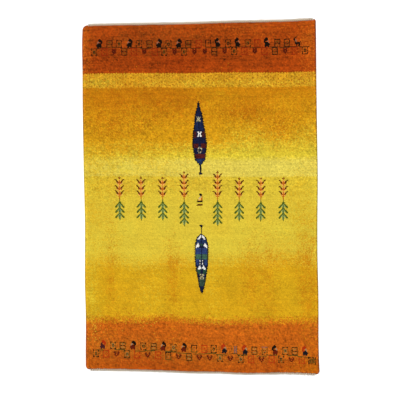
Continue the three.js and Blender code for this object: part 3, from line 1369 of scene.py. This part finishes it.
    def _outer(self, there: np.ndarray) -> np.ndarray:
        """Which knots are in the outer rows, all round the rug."""
        inner = there
        for _ in range(self.outer_rows):
            wider = np.pad(inner, 1)
            beside = wider[2:, 1:-1] & wider[:-2, 1:-1] & wider[1:-1, 2:] & wider[1:-1, :-2]
            inner = inner & beside
        return there & ~inner

    def _standing(self) -> dict[str, np.ndarray]:
        """Where each tuft stands, how tall it is and how it leans, for all knots on the rug."""
        plan, shape = self.plan, self.plan.shape
        size = (plan.rows, plan.columns)
        u, v = np.meshgrid(plan.u, plan.v)
        place = shape.place(u, v) + plan.chance.normal(0, self.shift, (*size, 2))
        tops = [shape.top(x, y) for x, y in place.reshape(-1, 2)]
        top = np.array([np.nan if z is None else z for z in tops]).reshape(size)
        top -= plan.chance.uniform(0, self.clip, size)
        lean = np.zeros((*size, 3))
        lean[..., 0] = self.sway * clouds(size, (9, 7), 21)
        lean[..., 1] = -self.nap + self.sway * clouds(size, (12, 6), 22)
        lean[..., :2] += plan.chance.normal(0, self.stray, (*size, 2))
        for axis, (part, half) in enumerate(((u, shape.half_across), (v, shape.half_along))):
            near = np.clip(1 - (1 - np.abs(part)) * half / self.flare_reach, 0, 1) ** 2
            lean[..., axis] += (np.sign(part) * self.flare[axis] - lean[..., axis]) * near
        outer = self._outer(np.isfinite(top))
        share = np.where(outer, 1.0, self.crown_lean)[..., None]
        foot = np.where(outer, shape.ground - self.root_depth, top - self.crown_height)
        return {
            "place": np.dstack((place, foot)) + lean * (1 - share),
            "tall": top - foot,
            "lean": lean * share,
            "outer": outer.astype(float),
            "dye": plan.colour.clip(0, 1),
        }

    def build(self) -> list[bpy.types.Object]:
        """Makes the strips.

        Returns:
            One piece for each strip, from left to right.
        """
        plan, recipe, standing = self.plan, self.recipe(), self._standing()
        edges = np.linspace(0, plan.columns, self.strips + 1).round().astype(int)
        long = math.ceil(plan.rows / self.folds)
        pieces = []
        for number, (first, last) in enumerate(zip(edges[:-1], edges[1:], strict=True), 1):
            wide = (last - first) * self.folds
            row, column = np.indices((plan.rows, last - first))
            across = (column + row // long * (last - first) + 0.5) / wide
            cell = np.dstack((across, (row % long + 0.5) / long, np.zeros(row.shape)))
            there = np.isfinite(standing["tall"][:, first:last])
            strip = {name: rows[:, first:last][there] for name, rows in standing.items()}
            mesh = bpy.data.meshes.new("knots")
            mesh.from_pydata(strip.pop("place").tolist(), [], [])
            attach(mesh, "cell", cell[there])
            for name, rows in strip.items():
                attach(mesh, name, rows)
            piece = recipe.run(mesh, f"pile_strip_{number}", Seed=number, Wide=1 / wide, Long=1 / long)
            pieces.append(dressed(piece, plan.shape.node, "pile_wool"))
        return pieces


@dataclass
class Ground:
    """The woven ground: one closed sheet, with the knots' collars in their colours on its back.

    Attributes:
        plan: The knots and their dyes.
        knots_to_cell: How many knots a face of the back spans each way.
        flat: How large the sheet is, in metres. Not used.
        back_height: How high the back reaches in its image, which is 1 high.
        wall_heights: Between which heights the walls lie there.
        top_heights: Where the hidden top starts there, and how high it is.
    """

    plan: KnotPlan
    knots_to_cell: int = 2
    flat: tuple[float, float] = (1.206, 1.811)
    back_height: float = 0.94
    wall_heights: tuple[float, float] = (0.95, 0.97)
    top_heights: tuple[float, float] = (0.98, 0.02)

    def build(self, carried: list[bpy.types.Object]) -> bpy.types.Object:
        """Args:
            carried: The pieces of the pile and the trims that are knotted and sewn to it. Not used.

        Returns:
            The sheet.
        """
        plan, shape = self.plan, self.plan.shape
        wide = plan.columns // self.knots_to_cell
        long = plan.rows // self.knots_to_cell
        u, v = np.meshgrid(np.linspace(-1, 1, wide + 1), np.linspace(-1, 1, long + 1))
        rounded = shape.rounded(u, v)
        under = shape.place(*rounded).reshape(-1, 2)
        index = np.arange(len(under)).reshape(long + 1, wide + 1)
        rim = np.concatenate((index[0, :-1], index[:-1, -1], index[-1, :0:-1], index[:0:-1, 0]))
        over = len(under) + np.arange(len(rim))
        points = np.vstack((
            np.column_stack((under, np.zeros(len(under)))),
            np.column_stack((under[rim], np.full(len(rim), shape.ground))),
        ))
        a, b, c, d = index[:-1, :-1], index[1:, :-1], index[1:, 1:], index[:-1, 1:]
        faces = np.stack((a, b, c, d), -1).reshape(-1, 4).tolist()
        walls = np.stack((rim, np.roll(rim, -1), np.roll(over, -1), over), -1).tolist()
        mesh = bpy.data.meshes.new("ground")
        mesh.from_pydata(points.tolist(), [], faces + walls + [over.tolist()])
        size = self.knots_to_cell
        cells = plan.colour[: long * size, : wide * size].reshape(long, size, wide, size, 3)
        edge = plan.colour_near(*(part.ravel()[rim] for part in rounded))
        dye = (cells.mean((1, 3)).reshape(-1, 3).repeat(4, 0), edge.repeat(4, 0), edge)
        attach(mesh, "dye", np.vstack(dye).clip(0, 1), "CORNER")
        self._lay_out(mesh, len(faces), len(walls))
        mesh.materials.append(WovenBack(plan.pitch * MM).material())
        piece = dressed(shown("ground", mesh), shape.node, "pile_wool")
        return piece

    def _lay_out(self, mesh: bpy.types.Mesh, back: int, walls: int) -> None:
        """Maps the back over most of the image, and the walls and the hidden top above it.

        Args:
            mesh: The sheet.
            back: How many faces its back has, which come first.
            walls: How many the walls have, which come next.
        """
        points = np.empty(len(mesh.vertices) * 3)
        mesh.vertices.foreach_get("co", points)
        points = points.reshape(-1, 3)[:, :2]
        unit = (points - points.min(0)) / np.ptp(points, axis=0)
        corner = np.empty(len(mesh.loops), int)
        mesh.loops.foreach_get("vertex_index", corner)
        spots = unit[corner]
        spots[:, 1] *= self.back_height
        wall = slice(back * 4, (back + walls) * 4)
        turn = np.arange(walls)[:, None] + np.array((0, 1, 1, 0))
        rise = np.tile(np.repeat(self.wall_heights, 2), walls)
        spots[wall] = np.column_stack((turn.ravel() / walls, rise))
        hidden = slice((back + walls) * 4, None)
        start, height = self.top_heights
        spots[hidden, 1] = start + unit[corner[hidden], 1] * height
        layer = mesh.uv_layers.new(name="OFBake")
        layer.data.foreach_set("uv", spots.astype(np.float32).ravel())


@dataclass
class Selvedge:
    """The cord down one long side, overcast with wool in the field's colours.

    Attributes:
        plan: The knots and their dyes.
        side: -1 for the left side and 1 for the right.
        shade: How light its wool is beside the field's: a little darker wool of its own, and on the right
            cord painted shade as well.
        width: The cord's width.
        height: The cord's height.
        gap: How far from the field it lies.
        wrap: The way from one turn of the wool to the next.
        groove: How much thinner the cord is between two turns.
        slant: How far the top of a turn is ahead of its bottom.
        ply: The way from one ply of the wool to the next.
        sides: How many sides the cord's section has.
        steps: How many points its route has at a corner and between the corners.
    """

    plan: KnotPlan
    side: int
    shade: float
    width: float = 7 * MM
    height: float = 6 * MM
    gap: float = 0.5 * MM
    wrap: float = 2.8 * MM
    groove: float = 0.13
    slant: float = 1.3 * MM
    ply: float = 1.1 * MM
    sides: int = 8
    steps: tuple[int, int] = (9, 60)

    def _route(self) -> tuple[np.ndarray, np.ndarray]:
        """The cord's middle line from the lower end to the upper, as places and as x and y."""
        shape = self.plan.shape
        reach = self.gap + self.width / 2
        stations = []
        for along in (-1, 1):
            radius = shape.corners[self.side, along]
            angles = np.linspace(math.pi / 2, 0, self.steps[0])[:: -along]
            x = shape.half_across - radius + (radius + reach) * np.cos(angles)
            y = shape.half_along - radius + (radius + reach) * np.sin(angles)
            stations.append(np.column_stack((self.side * x, along * y)))
        between = np.linspace(stations[0][-1], stations[1][0], self.steps[1])[1:-1]
        route = np.vstack((stations[0], between, stations[1]))
        places = route / (shape.half_across, shape.half_along)
        return places, shape.place(*places.T)

    def recipe(self) -> Recipe:
        """The tree that runs a ridged cord along a line, a ridge for each turn of the yarn."""
        values = {"Wrap": self.wrap, "Groove": self.groove, "Width": self.width}
        made = Recipe("overcast_cord", values | {"Height": self.height, "Slant": self.slant})
        wrap, groove, width, height, slant = (made.given(name) for name in made.values)
        line = made.evenly(made.node("GeometryNodeMeshToCurve", inputs={"Mesh": made.given()}), wrap / 2)
        # crest marks the ridge of each turn: the cord is thinner between two turns, and the wool paints
        # shade in that groove.
        line = made.store(line, "crest", made.node("GeometryNodeInputIndex") % 2)
        line = made.store(line, "way", made.node("GeometryNodeInputTangent"))
        line = made.node("GeometryNodeSetCurveNormal", {"mode": "Z_UP"}, {"Curve": line})
        scale = 1 - groove * (1 - made.stored("crest"))
        cord = made.swept(line, self.sides, 0.5, width, height, scale=scale)
        level = made.part(made.node("GeometryNodeInputPosition"), "Z") / height
        cord = made.moved(cord, made.stretched(made.stored("way"), slant * level))
        cord = made.moved(cord, made.combined(0.0, 0.0, height / 2))
        made.close(made.without(cord, "way"), TwistedWool("overcast_wool", self.ply).material())
        return made

    def build(self) -> bpy.types.Object:
        """Makes the cord."""
        node = "selvedge_left" if self.side < 0 else "selvedge_right"
        places, route = self._route()
        mesh = line_mesh(route)
        # The cord's wool is a little darker than the field beside it, and the right cord is darkened
        # further as painted shade.
        attach(mesh, "dye", self.plan.colour_near(*places.clip(-1, 1).T) * self.shade)
        return dressed(self.recipe().run(mesh, f"{node}_cord"), node, "selvedge_wool")


@dataclass
class EndPlait:
    """Two yarns, one pale and one dark, twined across one end, with the warp's ends cut short.

    Attributes:
        plan: The knots and their dyes.
        end: -1 for the lower end and 1 for the upper.
        width: The plait's width.
        height: The plait's height.
        gap: How far from the field it lies.
        turn: The length of a full turn.
        strand: Half the thickness of a strand.
        ply: The way from one ply of a strand to the next.
        sides: How many sides a strand's section has.
        steps: How many points a turn has.
        stations: How many points the plait's route has.
        warp_step: The way from one cut end to the next.
        warp_shift: How far an end is from its place at most.
        warp_tuck: How far under the plait's edge it starts.
        warp_rise: How far over the floor the lowest and the highest end start.
        warp_reach: How long the shortest and the longest end are.
        warp_thick: Half the thickness of an end.
        warp_tip: How much of that is left at its tip.
        warp_tilt: How far it is turned from level, in radians.
        warp_stray: How far it is turned to either side at most, in radians.
        warp_dark: The least share of the dark yarn in an end. A share under 0 counts as 0.
        dyes: The pale yarn and the dark one.
    """

    plan: KnotPlan
    end: int
    width: float = 11 * MM
    height: float = 6.2 * MM
    gap: float = 0.5 * MM
    turn: float = 10 * MM
    strand: float = 2.5 * MM
    ply: float = 1.4 * MM
    sides: int = 6
    steps: int = 8
    stations: int = 160
    warp_step: float = 1.4 * MM
    warp_shift: float = 1 * MM
    warp_tuck: float = 1.2 * MM
    warp_rise: tuple[float, float] = (1.5 * MM, 2.6 * MM)
    warp_reach: tuple[float, float] = (3 * MM, 10 * MM)
    warp_thick: float = 0.6 * MM
    warp_tip: float = 0.35
    warp_tilt: float = 0.05
    warp_stray: float = 0.5
    warp_dark: float = -0.4
    dyes: tuple[Dye, Dye] = (Dye.BLEACHED, Dye.WALNUT)

    def _route(self) -> np.ndarray:
        """The plait's middle line from left to right, between the corners."""
        shape = self.plan.shape
        left = -shape.half_across + shape.corners[-1, self.end] + self.gap + self.strand
        right = shape.half_across - shape.corners[1, self.end] - self.gap - self.strand
        x = np.linspace(left, right, self.stations)
        y = np.full(len(x), self.end * (shape.half_along + self.gap + self.width / 2))
        return shape.place(x / shape.half_across, y / shape.half_along)

    def recipe(self) -> Recipe:
        """The tree that twines two strands along a line, half a turn apart."""
        values = {"Turn": self.turn, "Strand": self.strand, "Spread": self.width / 2 - self.strand}
        values |= {"Rise": self.height / 2 - self.strand, "Seed": 5 + self.end}
        made = Recipe("twined_strands", values)
        turn, strand, spread, rise, seed = (made.given(name) for name in made.values)
        route = made.node("GeometryNodeMeshToCurve", inputs={"Mesh": made.given()})
        line = made.evenly(route, turn / self.steps)
        run = made.node("GeometryNodeSplineParameter", out="Length")
        side = made.vector("CROSS_PRODUCT", made.node("GeometryNodeInputTangent"), (0.0, 0.0, 1.0))
        parts = []
        for number, dye in enumerate(self.dyes):
            angle = run / turn * math.tau + math.pi * number
            aside = made.stretched(side, angle.sine() * spread)
            up = made.combined(0.0, 0.0, angle.cosine() * rise + rise + strand)
            yarn = made.moved(line, made.vector("ADD", aside, up))
            # crest is high where the strand lies over the other one. The wool paints shade where it runs
            # under.
            yarn = made.store(yarn, "crest", angle.cosine() * 0.5 + 0.5)
            yarn = made.store(yarn, "dye", dye.opaque)
            parts.append(made.swept(yarn, self.sides, strand))
        parts.append(self._warp(made, route, spread + strand, seed))
        made.close(made.joined(parts), TwistedWool("plait_wool", self.ply).material())
        return made

    def _warp(self, made: Recipe, route: Signal, aside: Signal, seed: Signal) -> Signal:
        """The cut ends of the warp that stick out from under the plait.

        Args:
            made: The tree they are added to.
            route: The plait's middle line.
            aside: How far the plait's edge is from that line.
            seed: The first seed of their random values.

        Returns:
            The ends.
        """
        inputs = {"Curve": route, "Length": self.warp_step}
        points = made.node("GeometryNodeCurveToPoints", {"mode": "LENGTH"}, inputs, "Points")
        shift = made.combined(
            made.random(-self.warp_shift, self.warp_shift, seed),
            (aside - self.warp_tuck) * self.end,
            made.random(*self.warp_rise, seed + 1),
        )
        cone = {"Vertices": 4, "Radius Top": self.warp_tip, "Radius Bottom": 1.0, "Depth": 1.0}
        stray = made.random(-1.0, 1.0, seed + 2) * self.warp_stray
        turned = made.combined(-self.end * (math.pi / 2 + self.warp_tilt), 0.0, stray)
        reach = made.random(*self.warp_reach, seed + 3)
        size = made.combined(self.warp_thick, self.warp_thick, reach)
        end = made.node("GeometryNodeMeshCone", inputs=cone)
        ends = made.stood(made.moved(points, shift), end, Rotation=turned, Scale=size)
        share = made.random(self.warp_dark, 1.0, seed + 4)
        dye = made.mixed(share, *(dye.opaque for dye in self.dyes))
        ends = made.store(ends, "dye", dye, "INSTANCE")
        # The cut ends carry a little of the wool's painted groove shade all over.
        return made.store(made.real(ends), "crest", 0.8)

    def build(self) -> bpy.types.Object:
        """Makes the plait."""
        node = "end_plait_lower" if self.end < 0 else "end_plait_upper"
        piece = self.recipe().run(line_mesh(self._route()), f"{node}_twine")
        return dressed(piece, node, "plait_wool")


@dataclass
class Studio:
    """A pale floor, soft light from all round, and a camera straight above the rug."""

    frame_width: float = 400 * 5.21 * MM
    aim: tuple[float, float] = (-4.9 * MM, -17.6 * MM)
    lens: float = 100.0
    sensor: float = 36.0
    floor: float = 9.0
    drop: float = 0.3 * MM
    dome: float = 0.8
    key: float = 2.75
    key_softness: float = 50.0
    key_from: tuple[float, float, float] = (-0.35, 0.45, 1.0)

    def build(self) -> None:
        """Makes the floor, the lights and the camera."""
        scene = bpy.context.scene
        scene.view_settings.view_transform = "Standard"
        self._floor()
        self._light()
        camera = shown("camera", bpy.data.cameras.new("camera"))
        camera.data.lens = self.lens
        camera.data.sensor_width = self.sensor
        pile_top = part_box("pile_field")[1].z
        away = self.frame_width * self.lens / self.sensor
        camera.location = (*self.aim, pile_top + away)
        scene.camera = camera

    def _floor(self) -> None:
        """Lays the paper, a hair under the rug."""
        mesh = bpy.data.meshes.new("floor")
        ways = ((-1, -1), (1, -1), (1, 1), (-1, 1))
        corners = [(x * self.floor, y * self.floor, -self.drop) for x, y in ways]
        mesh.from_pydata(corners, [], [(0, 1, 2, 3)])
        mesh.materials.append(StudioPaper().material())
        shown("floor", mesh)

    def _light(self) -> None:
        """Sets a white dome and one large soft light from the upper left."""
        world = bpy.data.worlds.new("dome")
        world.use_nodes = True
        light = world.node_tree.nodes["Background"].inputs
        light["Color"].default_value = (1, 1, 1, 1)
        light["Strength"].default_value = self.dome
        bpy.context.scene.world = world
        lamp = bpy.data.lights.new("key", "SUN")
        lamp.energy = self.key
        lamp.angle = math.radians(self.key_softness)
        key = shown("key", lamp)
        key.rotation_euler = Vector(self.key_from).to_track_quat("Z", "Y").to_euler()


def main() -> None:
    """Loads the frame, builds the rug piece by piece and notes how large it came out."""
    logging.basicConfig(level=logging.INFO, format="%(message)s")
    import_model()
    Studio().build()
    plan = KnotPlan(FieldShape())
    LOG.info("field: %d rows of %d knots", plan.rows, plan.columns)
    carried = Pile(plan).build()
    # The right cord is set darker than the left as painted shade on that side.
    carried += [Selvedge(plan, side, shade).build() for side, shade in ((-1, 0.95), (1, 0.74))]
    carried += [EndPlait(plan, end).build() for end in (-1, 1)]
    Ground(plan).build(carried)


if __name__ == "__main__":
    main()
